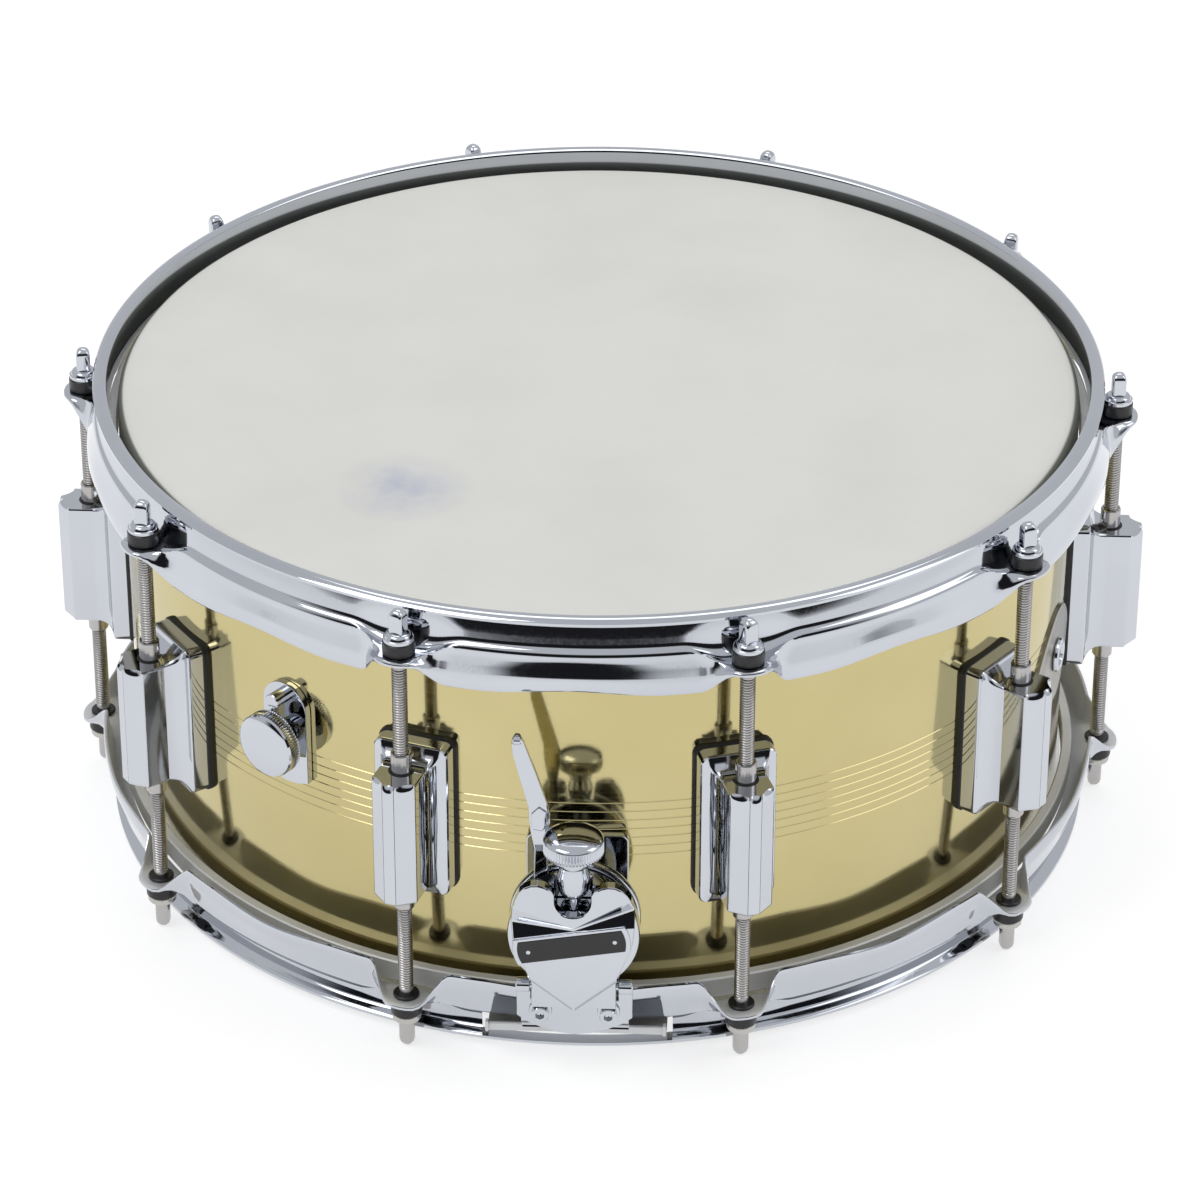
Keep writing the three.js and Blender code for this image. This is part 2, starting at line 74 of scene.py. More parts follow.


# ---- node-based materials ----
class Nodes:
    """A material's node tree, with short calls for the nodes used here."""

    def __init__(self, name, **sockets):
        self.material = bpy.data.materials.new(name)
        self.material.use_nodes = True
        self.tree = self.material.node_tree
        self.shader = self.tree.nodes["Principled BSDF"]
        for socket, value in sockets.items():
            self.shader.inputs[socket.replace("_", " ")].default_value = value
        self.place = self.add("ShaderNodeTexCoord").outputs["Object"]

    def add(self, kind, **inputs):
        node = self.tree.nodes.new(kind)
        for name, value in inputs.items():
            self.put(node.inputs[name.replace("_", " ")], value)
        return node

    def put(self, socket, value):
        if isinstance(value, bpy.types.NodeSocket):
            self.tree.links.new(value, socket)
        else:
            socket.default_value = value

    def noise(self, scale, stretch=(1, 1, 1), detail=3.0):
        mapping = self.add("ShaderNodeMapping", Vector=self.place, Scale=stretch)
        texture = self.add("ShaderNodeTexNoise", Vector=mapping.outputs[0])
        texture.inputs["Scale"].default_value = scale
        texture.inputs["Detail"].default_value = detail
        return texture.outputs["Fac"]

    def range(self, value, low, high, start=0.3, end=0.7):
        node = self.add("ShaderNodeMapRange", Value=value)
        for name, x in zip(("From Min", "From Max", "To Min", "To Max"), (start, end, low, high)):
            node.inputs[name].default_value = x
        return node.outputs["Result"]

    def mix(self, factor, a, b):
        node = self.tree.nodes.new("ShaderNodeMix")
        node.data_type = "RGBA"
        self.put(node.inputs[0], factor)
        self.put(node.inputs[6], a)
        self.put(node.inputs[7], b)
        return node.outputs[2]

    def bump(self, height, strength, distance):
        node = self.add("ShaderNodeBump", Height=height)
        node.inputs["Strength"].default_value = strength
        node.inputs["Distance"].default_value = distance
        self.put(self.shader.inputs["Normal"], node.outputs[0])

    def set(self, socket, value):
        self.put(self.shader.inputs[socket], value)


def rgb(r, g, b):
    """An sRGB colour from 0 to 255 as a linear one."""
    channels = [c / 255 for c in (r, g, b)]
    linear = [c / 12.92 if c <= 0.04045 else ((c + 0.055) / 1.055) ** 2.4 for c in channels]
    return (*linear, 1)


def metal(
    name, colour, dull, low, high, grain=(1, 1, 1), scale=900, ripple=0.02, depth=2e-5, metallic=1.0
):
    """A plated or bare metal: fine grain in its roughness and a faint waviness in its surface."""
    n = Nodes(name, Metallic=metallic, Roughness=low)
    fine = n.noise(scale, grain)
    broad = n.noise(14)
    n.set("Base Color", n.mix(n.range(broad, 0, 1), colour, dull))
    n.set("Roughness", n.range(fine, low, high))
    n.bump(fine, ripple, depth)
    return n.material


CHROME = metal("chrome_plate", rgb(200, 203, 209), rgb(192, 195, 202), 0.035, 0.075)
NICKEL = metal("nickel_plate", rgb(186, 184, 183), rgb(172, 170, 168), 0.16, 0.28)
STEEL = metal("bright_steel", rgb(196, 194, 190), rgb(180, 178, 172), 0.22, 0.36)
ALUMINIUM = metal(
    "aluminium_hoop", rgb(226, 226, 224), rgb(212, 212, 210), 0.46, 0.6,
    grain=(0.02, 0.02, 1), scale=1800, depth=1e-5, metallic=0.45,
)
BRASS = metal(
    "spun_brass", rgb(199, 187, 139), rgb(191, 179, 130), 0.06, 0.13,
    grain=(0.02, 0.02, 1), scale=2600, ripple=0.08, depth=2e-5,
)
SATIN = metal("satin_steel", rgb(218, 219, 220), rgb(204, 205, 206), 0.34, 0.5, metallic=0.45)
BADGE_METAL = metal("badge_metal", rgb(168, 166, 160), rgb(150, 148, 142), 0.28, 0.42)


def dark_finish(name, colour, low, high):
    n = Nodes(name, Roughness=low)
    fine = n.noise(1500)
    n.set("Base Color", n.mix(n.range(n.noise(60), 0, 1), colour, tuple(c * 1.5 for c in colour[:3]) + (1,)))
    n.set("Roughness", n.range(fine, low, high))
    n.bump(fine, 0.15, 3e-5)
    return n.material


RUBBER = dark_finish("gasket_rubber", rgb(24, 25, 27), 0.45, 0.65)
NYLON = dark_finish("nylon_washer", rgb(17, 17, 20), 0.28, 0.42)
ENAMEL = dark_finish("black_enamel", rgb(20, 20, 22), 0.12, 0.2)


def coated_film():
    """White sprayed coating: a fine tooth, slight mottling, one faint grey-blue smudge, and a darker grey
    edge that is bare film with painted shade from the hoop.
    """
    n = Nodes("coated_film", Roughness=0.7)
    n.shader.inputs["Specular IOR Level"].default_value = 0.3
    tooth = n.noise(2600, detail=4)
    mottle = n.mix(n.range(n.noise(18, detail=5), 0, 1), rgb(222, 221, 216), rgb(216, 215, 209))
    spot = n.add("ShaderNodeVectorMath", Vector=n.place)
    spot.operation = "DISTANCE"
    spot.inputs[1].default_value = SMUDGE
    spread = n.range(spot.outputs["Value"], 1, 0, 0.003, 0.026)
    worn = n.add("ShaderNodeMath")
    worn.operation = "MULTIPLY"
    n.put(worn.inputs[0], spread)
    n.put(worn.inputs[1], n.range(n.noise(90, detail=4), 0.15, 0.6))
    film = n.mix(worn.outputs[0], mottle, rgb(158, 166, 194))
    reach = n.add("ShaderNodeVectorMath", Vector=n.place)
    reach.operation = "MULTIPLY"
    reach.inputs[1].default_value = (1, 1, 0)
    radius = n.add("ShaderNodeVectorMath", Vector=reach.outputs[0])
    radius.operation = "LENGTH"
    # past the coating's edge the film is painted darker grey: partly bare film, partly painted shade where
    # the hoop shades the head's edge
    bare_and_shaded = n.range(radius.outputs["Value"], 0, 1, *COATING_AND_SHADE_EDGE)
    n.set("Base Color", n.mix(bare_and_shaded, film, rgb(112, 113, 104)))
    n.set("Roughness", n.range(tooth, 0.6, 0.85))
    n.bump(tooth, 0.12, 3e-5)
    return n.material


COATED = coated_film()


def clear_film():
    n = Nodes("clear_film", Roughness=0.12, Alpha=0.28)
    n.set("Base Color", n.mix(n.range(n.noise(20), 0, 1), rgb(226, 230, 232), rgb(214, 220, 224)))
    n.set("Roughness", n.range(n.noise(900), 0.08, 0.2))
    n.bump(n.noise(40), 0.04, 2e-4)
    return n.material


def felt_fibre():
    n = Nodes("grey_felt", Roughness=0.95)
    n.shader.inputs["Sheen Weight"].default_value = 0.5
    fibre = n.noise(1400, (1, 1, 3), detail=6)
    n.set("Base Color", n.mix(n.range(fibre, 0, 1), rgb(232, 228, 216), rgb(196, 191, 178)))
    n.bump(fibre, 0.7, 3e-4)
    return n.material


CLEAR = clear_film()
FELT = felt_fibre()


# ---- shapes: each is (points, faces), in mm ----
def strips(n, count):
    """The faces that join each of count closed loops of n points to the next, and the last to the first."""
    faces = []
    for i in range(count):
        a, b = i * n, (i + 1) % count * n
        for j in range(n):
            k = (j + 1) % n
            faces.append((a + j, a + k, b + k, b + j))
    return faces


def lathe(profile, steps=96, ripple=None):
    """A closed [radius, height] profile turned about the Z axis."""
    points = []
    for i in range(steps):
        t = 2 * pi * i / steps
        for r, z in profile:
            q = ripple(t, r, z) if ripple else r
            points.append((q * sin(t), -q * cos(t), z))
    return points, strips(len(profile), steps)


def loft(loops):
    """A skin over loops of equal length, capped at both ends."""
    n = len(loops[0])
    points = [p for loop in loops for p in loop]
    faces = strips(n, len(loops))[:-n]  # all but the strip that would close it on itself
    faces.append(tuple(range(n)))
    faces.append(tuple(range(len(points) - n, len(points))))
    return points, faces


def rounded(hx, hz, r, corner=6):
    """A rounded rectangle as [across, up] points."""
    centres = [(hx - r, hz - r, 0), (r - hx, hz - r, 90), (r - hx, r - hz, 180), (hx - r, r - hz, 270)]
    return [
        (cx + r * cos(radians(a + 90 * i / corner)), cz + r * sin(radians(a + 90 * i / corner)))
        for cx, cz, a in centres
        for i in range(corner + 1)
    ]


def facing(outline, out):
    """[across, up] points stood upright, facing -Y at radius out."""
    return [(x, -out, z) for x, z in outline]


def prism(outline, near, far, bevel=0.0):
    """An [across, up] outline given thickness, from radius near to far."""
    return bevelled(loft([facing(outline, near), facing(outline, far)]), bevel)


def block(x0, x1, near, far, z0, z1, bevel=0.5):
    return prism([(x0, z0), (x1, z0), (x1, z1), (x0, z1)], near, far, bevel)


def sideways(outline, left, right, bevel=0.0):
    """An [outward, up] outline swept across."""
    loops = [[(x, -out, z) for out, z in outline] for x in (left, right)]
    return bevelled(loft(loops), bevel)


def bevelled(shape, width, segments=2, angle=28):
    if not width:
        return shape
    bm = bmesh.new()
    vertices = [bm.verts.new(p) for p in shape[0]]
    for face in shape[1]:
        bm.faces.new([vertices[i] for i in face])
    bmesh.ops.recalc_face_normals(bm, faces=bm.faces[:])
    edges = [e for e in bm.edges if len(e.link_faces) == 2 and e.calc_face_angle(0) > radians(angle)]
    bmesh.ops.bevel(
        bm, geom=edges, offset=width, segments=segments, profile=0.5, affect="EDGES", clamp_overlap=True
    )
    bm.verts.index_update()
    result = [tuple(v.co) for v in bm.verts], [tuple(v.index for v in f.verts) for f in bm.faces]
    bm.free()
    return result


def moved(shape, matrix):
    return [tuple(matrix @ Vector(p)) for p in shape[0]], shape[1]


def shift(shape, x=0.0, y=0.0, z=0.0):
    return moved(shape, Matrix.Translation((x, y, z)))


def outward(shape, x=0.0, z=0.0):
    """Turns a shape made along +Z so that it points outwards along -Y."""
    return moved(shape, Matrix.Translation((x, 0, z)) @ Matrix.Rotation(pi / 2, 4, "X"))


def across(shape, out, z, x=0.0):
    """Turns a shape made along +Z so that it lies along X."""
    return moved(shape, Matrix.Translation((x, -out, z)) @ Matrix.Rotation(pi / 2, 4, "Y"))


def mirrored(shape):
    return [(x, y, -z) for x, y, z in shape[0]], shape[1]


def curve_arc(radius, x, z, start, end, steps):
    angles = [radians(start + (end - start) * i / steps) for i in range(steps + 1)]
    return [(x + radius * cos(t), z + radius * sin(t)) for t in angles]


def smoothstep(x, low, high):
    t = min(1, max(0, (x - low) / (high - low)))
    return t * t * (3 - 2 * t)


# ---- pieces ----
CREASE = 32  # degrees; an edge that bends more than this is shaded as a hard one


def mesh_of(name, parts, crease=CREASE):
    """One mesh from (shape, material) parts, in metres, with hard edges where faces meet sharply."""
    materials = []
    bm = bmesh.new()
    for (points, faces), material in parts:
        if material not in materials:
            materials.append(material)
        vertices = [bm.verts.new(Vector(p) / 1000) for p in points]
        made = []
        for face in faces:
            corners = []
            for i in face:
                if vertices[i] not in corners:
                    corners.append(vertices[i])
            if len(corners) > 2:
                made.append(bm.faces.new(corners))
                made[-1].material_index = materials.index(material)
    bmesh.ops.remove_doubles(bm, verts=bm.verts[:], dist=1e-7)
    bmesh.ops.dissolve_degenerate(bm, edges=bm.edges[:], dist=1e-8)
    bmesh.ops.recalc_face_normals(bm, faces=bm.faces[:])
    for face in bm.faces:
        face.smooth = True
    for edge in bm.edges:
        edge.smooth = len(edge.link_faces) == 2 and edge.calc_face_angle(0) < radians(crease)
    mesh = bpy.data.meshes.new(name)
    bm.to_mesh(mesh)
    bm.free()
    for material in materials:
        mesh.materials.append(material)
    return mesh


def place(name, mesh, body, nodes, azimuth=0, at=(0, 0, 0), spin=0, even=True):
    """Puts a mesh at a point (mm) turned to an azimuth, riding on a body, in place of CAD nodes."""
    piece = bpy.data.objects.new(name, mesh)
    bpy.context.scene.collection.objects.link(piece)
    turn = Matrix.Rotation(radians(azimuth), 4, "Z")
    down = Matrix.Translation((0, 0, -HEAD_Z / 1000))
    spun = Matrix.Rotation(radians(spin), 4, "Z")
    piece.matrix_world = down @ turn @ Matrix.Translation(Vector(at) / 1000) @ spun
    if even:
        weighted = piece.modifiers.new("even_shading", "WEIGHTED_NORMAL")
        weighted.keep_sharp = True
    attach(piece, body)
    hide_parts(*nodes)
    return piece


def cut_away(mesh, shapes):
    """The mesh with closed shapes cut out of it."""
    base = bpy.data.objects.new("cut_base", mesh)
    bpy.context.scene.collection.objects.link(base)
    tools = []
    for shape in shapes:
        tool = bpy.data.objects.new("cut_tool", mesh_of("cut_tool", [(shape, mesh.materials[0])]))
        bpy.context.scene.collection.objects.link(tool)
        modifier = base.modifiers.new("cut", "BOOLEAN")
        modifier.object = tool
        modifier.solver = "EXACT"
        tools.append(tool)
    bpy.context.view_layer.update()
    result = bpy.data.meshes.new_from_object(base.evaluated_get(bpy.context.evaluated_depsgraph_get()))
    for o in (base, *tools):
        bpy.data.objects.remove(o)
    bm = bmesh.new()
    bm.from_mesh(result)
    for edge in bm.edges:
        edge.smooth = len(edge.link_faces) == 2 and edge.calc_face_angle(0) < radians(CREASE)
    bm.to_mesh(result)
    bm.free()
    return result


# ---- shell, with seven fine grooves around its middle ----
def shell_profile():
    outside = [(175.6, -82.2), (176.9, -80.8), (177.4, -79.6)]
    for i in range(7):
        z = -12.6 + 3.6 * i
        outside += [(SHELL_R, z - 0.3), (177.3, z - 0.1), (177.3, z + 0.1), (SHELL_R, z + 0.3)]
    outside += [(177.4, 79.6), (176.9, 80.8), (175.6, 82.2)]
    return outside + [(174.4, 81.9), (171.5, 80.2), (172.4, 78.4), (175.5, 76), (175.5, -76), (172.4, -78.4),
                      (171.5, -80.2), (174.4, -81.9)]


def turned_to(shape, azimuth):
    return moved(shape, Matrix.Rotation(radians(azimuth), 4, "Z"))


def bar(radius, low, high, steps=24):
    return lathe([(0, low), (radius, low), (radius, high), (0, high)], steps)


shell_mesh = cut_away(
    mesh_of("shell_brass", [(lathe(shell_profile(), 288), BRASS)]),
    [
        turned_to(outward(bar(2.5, 160, 190), 0, MUFFLER_Z), MUFFLER_AZ),
        turned_to(outward(bar(4.9, 160, 190), 0, BADGE_Z), BADGE_AZ),
    ],
)
place("shell_brass", shell_mesh, "drum", ["shell"], even=False)


# ---- heads and flesh hoops ----
HEAD_PROFILE = [
    (0, 82.8), (60, 82.8), (120, 82.8), (174.6, 82.8), (176.3, 82.55), (177.6, 81.8),
    (178.4, 80.6), (178.7, 79), (178.7, 70), (178.2, 70), (178.2, 78.8),
    (177.9, 80.3), (177.1, 81.4), (175.9, 82.2), (174.4, 82.5), (0, 82.5),
]
FLESH_PROFILE = [
    (179.1, 72.6), (179.6, 73.1), (182.5, 73.1), (183, 72.6),
    (183, 65.5), (182.5, 65), (179.6, 65), (179.1, 65.5),
]


def turned_over(profile, side):
    return [(r, side * z) for r, z in profile]


for name, side, material in (("batter", 1, COATED), ("snare", -1, CLEAR)):
    head = mesh_of(f"{name}_film", [(lathe(turned_over(HEAD_PROFILE, side), 256), material)])
    place(f"{name}_film", head, "drum", [f"{name}_head"], even=False)
    ring = mesh_of(f"{name}_flesh_ring", [(lathe(turned_over(FLESH_PROFILE, side), 240), ALUMINIUM)])
    place(f"{name}_flesh_ring", ring, "drum", [f"{name}_flesh_hoop"], even=False)


# ---- counter hoops: the skirt sweeps out of a flat ear at every rod ----
# Each row is the radius and height between the ears, then on an ear.
HOOP_ROWS = [
    (182.4, 75.4, 182.4, 75.2),
    (182.3, 87.6, 182.3, 87.6),
    (182.6, 88.4, 182.6, 88.4),
    (183.5, 88.9, 183.5, 88.9),
    (185.3, 88.9, 185.3, 88.9),
    (186.8, 88.4, 186.8, 88.4),
    (187.6, 87.5, 187.6, 87.5),
    (187.5, 86.5, 187.5, 86.5),
    (186.6, 85.8, 186.6, 85.8),
    (185.0, 85.3, 185.0, 85.3),
    (184.2, 84.5, 184.2, 84.5),
    (184.9, 82.3, 184.8, 82.3),
    (185.5, 80.3, 185.2, 80.0),
    (186.0, 78.5, 185.4, 77.6),
    (186.3, 77.5, 185.9, 75.4),
    (186.7, 76.9, 186.7, 74.0),
    (187.2, 76.5, 187.8, 72.9),
    (187.7, 76.0, 189.2, 72.3),
    (188.1, 75.2, 190.8, 72.3),
    (188.3, 74.3, 192.2, 72.3),
    (188.5, 73.4, 193.8, 72.3),
    (188.8, 72.4, 195.4, 72.3),
    (189.5, 70.3, 197.0, 72.3),
    (190.2, 68.3, 198.4, 72.3),
    (190.6, 67.1, 199.4, 72.3),
    (190.8, 65.9, 200.2, 72.2),
    (190.8, 64.4, 200.7, 71.9),
    (190.8, 63.2, 200.9, 71.5),
    (190.5, 62.6, 200.9, 71.1),
    (190.0, 62.4, 200.7, 70.7),
    (189.5, 62.6, 200.2, 70.4),
    (189.3, 63.2, 199.0, 70.3),
    (189.2, 65.6, 197.2, 70.3),
    (188.7, 68.2, 195.2, 70.3),
    (187.9, 70.6, 193.0, 70.3),
    (187.2, 72.6, 190.6, 70.4),
    (186.2, 74.2, 188.2, 71.2),
    (184.8, 75.0, 185.2, 73.2),
    (183.4, 75.3, 183.2, 74.6),
]


LIP_DIP = 2.2  # how far the lip falls from mid-span to the ear
DIP_START = 8  # degrees from the rod within which the lip is at its lowest
EAR_END_R = 8.0  # radius of the ear's rounded end, about the rod


def hoop_shape(side, steps=720):
    """The rows turned about the axis, blended from span to ear by how far the nearest rod is."""
    points = []
    for i in range(steps):
        azimuth = 360 * i / steps
        away = abs((azimuth - AZIMUTHS[0] + HALF_PITCH) % (2 * HALF_PITCH) - HALF_PITCH)
        dip = LIP_DIP * (1 - smoothstep(away, DIP_START, HALF_PITCH))
        tab = sqrt(max(0, EAR_END_R**2 - (ROD_R * sin(radians(away))) ** 2)) if away < 3 else 0
        shortfall = EAR_END_R - tab
        for r, z, er, ez in HOOP_ROWS:
            outer = smoothstep(er, 186, 196)
            ear = 1 - smoothstep(away, 1.6 + 0.8 * (1 - outer), 4.7 + 2.0 * (1 - outer))
            reach = er - min(shortfall, 5) * 0.55 * smoothstep(er, 192, 200)
            drop = dip * smoothstep(76 - z, 0, 14) * (1 - ear)
            q = r + (reach - r) * ear
            h = z - drop + (ez - z) * ear
            t = radians(azimuth)
            points.append((q * sin(t), -q * cos(t), side * h))
    return points, strips(len(HOOP_ROWS), steps)


INSIDE_ROW = 29  # from here round to the first row, the skirt's inside is left satin


def hoop_parts(side):
    points, faces = hoop_shape(side)
    inside = [f for i, f in enumerate(faces) if i % len(HOOP_ROWS) >= INSIDE_ROW]
    outside = [f for i, f in enumerate(faces) if i % len(HOOP_ROWS) < INSIDE_ROW]
    return [((points, outside), CHROME), ((points, inside), SATIN)]


ROD_HOLE = 3.7


def rod_holes(side):
    """Ten upright drills, one through each ear, as a single shape."""
    points, faces = [], []
    for azimuth in AZIMUTHS:
        drill = turned_to(shift(bar(ROD_HOLE, side * EAR_Z - 6, side * EAR_Z + 6), 0, -ROD_R), azimuth)
        faces += [tuple(i + len(points) for i in face) for face in drill[1]]
        points += drill[0]
    return points, faces


batter_hoop = cut_away(mesh_of("batter_rim", hoop_parts(1), crease=50), [rod_holes(1)])
place("batter_rim", batter_hoop, "drum", ["batter_hoop"], even=False)

gates = [
    block(STRAINER_X - GATE_HALF, STRAINER_X + GATE_HALF, 170, 190.3, -86.6, -76.7, 0),
    turned_to(block(-GATE_HALF, GATE_HALF, 170, 190.3, -86.6, -76.7, 0), 180),
]
snare_hoop = cut_away(mesh_of("snare_rim", hoop_parts(-1), crease=50), [*gates, rod_holes(-1)])
place("snare_rim", snare_hoop, "drum", ["snare_hoop"], even=False)


# ---- lugs: gasket, flanged base, three-faced column with a scalloped crown, and two swivel nuts ----
COLUMN_TOP = 24.5
COLUMN_OUT = 205.4  # radius of the column's middle face
COLUMN_HALF = 7.7
FACE_HALF = 2.15  # half the middle face's width
SIDE_MID, SIDE_HALF = 4.93, 2.78  # a side face's middle and half its width
SIDE_SLOPE = 0.79


def column_out(x):
    """The column's radius at x: level in the middle, sloping on each side face, then dropping away."""
    x = abs(x)
    if x <= FACE_HALF:
        return COLUMN_OUT
    if x <= COLUMN_HALF:
        return COLUMN_OUT - (x - FACE_HALF) * SIDE_SLOPE
    return 201 - (x - COLUMN_HALF) * 1.6


def crown(x, z):
    """How far the column's front is set back at (x, z): soft lobes above, a small round below."""
    if z < 0:
        return 0.5 * max(0, -z - 23.3) ** 2
    centre, half = (0, FACE_HALF) if abs(x) <= FACE_HALF else ((SIDE_MID if x > 0 else -SIDE_MID), SIDE_HALF)
    u = min(1, abs(x - centre) / half)
    start = COLUMN_TOP - 1.6 - 2.0 * sqrt(max(0, 1 - u * u))
    return 0.14 * max(0, z - start) ** 2


def lug_column():
    xs = [-COLUMN_HALF]
    for centre, half in ((-SIDE_MID, SIDE_HALF), (0, FACE_HALF), (SIDE_MID, SIDE_HALF)):
        xs += [centre + half * u for u in (-0.97, -0.9, -0.75, -0.5, -0.2, 0.2, 0.5, 0.75, 0.9, 0.97)]
        xs.append(centre + half)
    heights = [COLUMN_TOP, 24.2, 23.8, 23.4, 22.9, 22.4, 21.9, 21.4, 20.9, 20.4, 18, 12, 6]
    heights = [-h for h in heights] + [0] + heights[::-1]
    loops = []
    for z in heights:
        end = 0.35 * smoothstep(abs(z), 23.9, COLUMN_TOP)
        loop = [(-8.2 + end, -184, z), (-8.2 + end, -200.1, z), (-8.05 + end, -200.6, z)]
        for x in xs:
            groove = 0.4 if abs(abs(x) - FACE_HALF) < 0.02 else 0
            loop.append((x, -(column_out(x) - crown(x, z) - groove), z))
        loop += [(8.05 - end, -200.6, z), (8.2 - end, -200.1, z), (8.2 - end, -184, z)]
        loops.append(loop)
    return loft(loops)


def lug_base():
    rows = [
        (8.0, 24.4, 1.0, 193), (8.3, 24.7, 1.2, 191.2), (8.7, 25.1, 1.4, 189.4), (9.5, 26.0, 1.8, 187.6),
        (10.7, 27.3, 2.2, 186.3), (12.2, 28.8, 2.6, 185.5), (13.4, 29.9, 2.9, 185.1),
        (13.8, 30.2, 3.0, 184.6), (13.9, 30.3, 3.1, 183.8), (13.9, 30.3, 3.1, 178.6),
    ]
    return loft([facing(rounded(hx, hz, r), out) for hx, hz, r, out in rows])


def lug_gasket():
    rows = [
        (14.1, 30.4, 3.2, 178.9), (14.4, 30.7, 3.4, 178.7), (14.5, 30.8, 3.5, 178.3),
        (14.5, 30.8, 3.5, 176.4),
    ]
    return loft([facing(rounded(hx, hz, r), out) for hx, hz, r, out in rows])


def nut_profile():
    return [(2.9, 23.5), (3.75, 23.5), (3.75, 31.6), (3.45, 32.1), (2.9, 32.1)]


def lug_parts():
    nut = shift(lathe(nut_profile(), 40), 0, -ROD_R)
    bore = shift(lathe([(3.7, 24.3), (4.6, 24.3), (4.6, 24.62), (3.7, 24.62)], 40), 0, -ROD_R)
    return [
        (lug_column(), CHROME), (lug_base(), CHROME), (nut, NICKEL), (mirrored(nut), NICKEL),
        (bore, RUBBER), (mirrored(bore), RUBBER), (lug_gasket(), RUBBER),
    ]


lug_mesh = mesh_of("lug_casting", lug_parts(), crease=24)
for i, azimuth in enumerate(AZIMUTHS):
    place(f"lug_casting_{i + 1}", lug_mesh, "drum", [f"lug_{i + 1}"], azimuth)


# ---- tension rods ----
def thread(low, high, pitch=1.06, major=2.72, minor=2.12, steps=20):
    """A V thread as one helical strip, with its core hidden inside."""
    turns = int((high - low) / pitch)
    points, faces = [], []
    for n in range(turns * steps + 1):
        t = 2 * pi * n / steps
        z = low + pitch * n / steps
        for r, lift in ((minor, 0), (major, 0.4), (major, 0.6)):
            points.append((r * sin(t), -r * cos(t), z + lift * pitch))
    for n in range(turns * steps):
        a, b = 3 * n, 3 * (n + 1)
        faces += [(a, b, b + 1, a + 1), (a + 1, b + 1, b + 2, a + 2)]
        if n + steps < turns * steps:
            c, d = a + 3 * steps, b + 3 * steps
            faces.append((a + 2, b + 2, d, c))
    return points, faces


def square(half, round_off, z):
    return [(x, y, z) for x, y in rounded(half, half, round_off, 4)]


def rod_parts(side):
    nylon = [(2.5, 72.5), (5.2, 72.5), (5.65, 72.9), (5.75, 75), (5.65, 77.1), (5.2, 77.5), (2.5, 77.5)]
    if side > 0:
        washer = [
            (2.5, 77.5), (5.2, 77.5), (5.4, 77.7), (5.4, 78.8), (5.2, 79), (4.9, 79.05), (4.75, 79.4),
            (4.5, 80), (3.9, 80.5), (3.2, 80.7), (2.5, 80.7),
        ]
        pin = [
            square(2.55, 0.8, 80.2), square(2.6, 0.8, 80.8), square(2.6, 0.8, 86.4), square(2.45, 1.0, 87.6),
            square(2.0, 1.2, 88.6), square(1.3, 0.9, 89.2), square(0.5, 0.4, 89.45),
        ]
    else:
        washer = [(2.5, 77.5), (5.0, 77.5), (5.2, 77.8), (5.2, 79.6), (4.8, 80.2), (3.4, 80.6), (2.5, 80.6)]
        pin = [
            square(2.5, 1.6, 80.2), square(2.55, 1.7, 80.8), square(2.55, 1.8, 89.0), square(2.3, 1.9, 90.2),
            square(1.7, 1.5, 91.0), square(0.6, 0.5, 91.4),
        ]
    inner = [(2.5, 69.0), (4.3, 69.0), (4.7, 69.4), (4.7, 70.1), (2.5, 70.1)]
    core = [(0, 24), (2.2, 24), (2.2, 66), (2.62, 66.4), (2.62, 81), (0, 81)]
    parts = [
        (loft(pin), CHROME if side > 0 else NICKEL), (lathe(washer, 40), CHROME if side > 0 else STEEL),
        (lathe(nylon, 40), NYLON), (lathe(inner, 32), NYLON), (lathe(core, 24), NICKEL),
        (thread(24, 66.5), NICKEL),
    ]
    return parts if side > 0 else [(mirrored(shape), material) for shape, material in parts]


for name, side in (("batter", 1), ("snare", -1)):
    rod_mesh = mesh_of(f"{name}_tension_rod", rod_parts(side), crease=40)
    for i, azimuth in enumerate(AZIMUTHS):
        node = f"{name}_rod_{i + 1}"
        spin = (37 * i + 20) % 90
        piece_name = f"{name}_tension_rod_{i + 1}"
        place(piece_name, rod_mesh, node, [node], azimuth, (0, -ROD_R, 0), spin, even=False)


# ---- strainer ----
def strainer_piece(name, parts, body, nodes, crease=CREASE, even=True):
    return place(name, mesh_of(name, parts, crease=crease), body, nodes, at=(STRAINER_X, 0, 0), even=even)


def strainer_disc(radius, near, far, bevel=0.6):
    """A disc about the lever's axis, from radius near to far, with broken edges."""
    profile = [
        (0, near), (radius - bevel, near), (radius - bevel * 0.3, near + bevel * 0.3),
        (radius, near + bevel), (radius, far - bevel), (radius - bevel * 0.3, far - bevel * 0.3),
        (radius - bevel, far), (0, far),
    ]
    return outward(lathe(profile), 0, STRAINER_Z)


bracket = [
    (shift(prism(rounded(18, 25, 2.5), 178.0, 181.2, 0.6), z=-27), CHROME),
    (strainer_disc(13, 180, 195), CHROME),
    (strainer_disc(23, 194.6, 198.2, bevel=1.0), CHROME),
    (strainer_disc(6, 197, 201.8), STEEL),
]
strainer_piece("strainer_mount", bracket, "drum", ["strainer_bracket"])

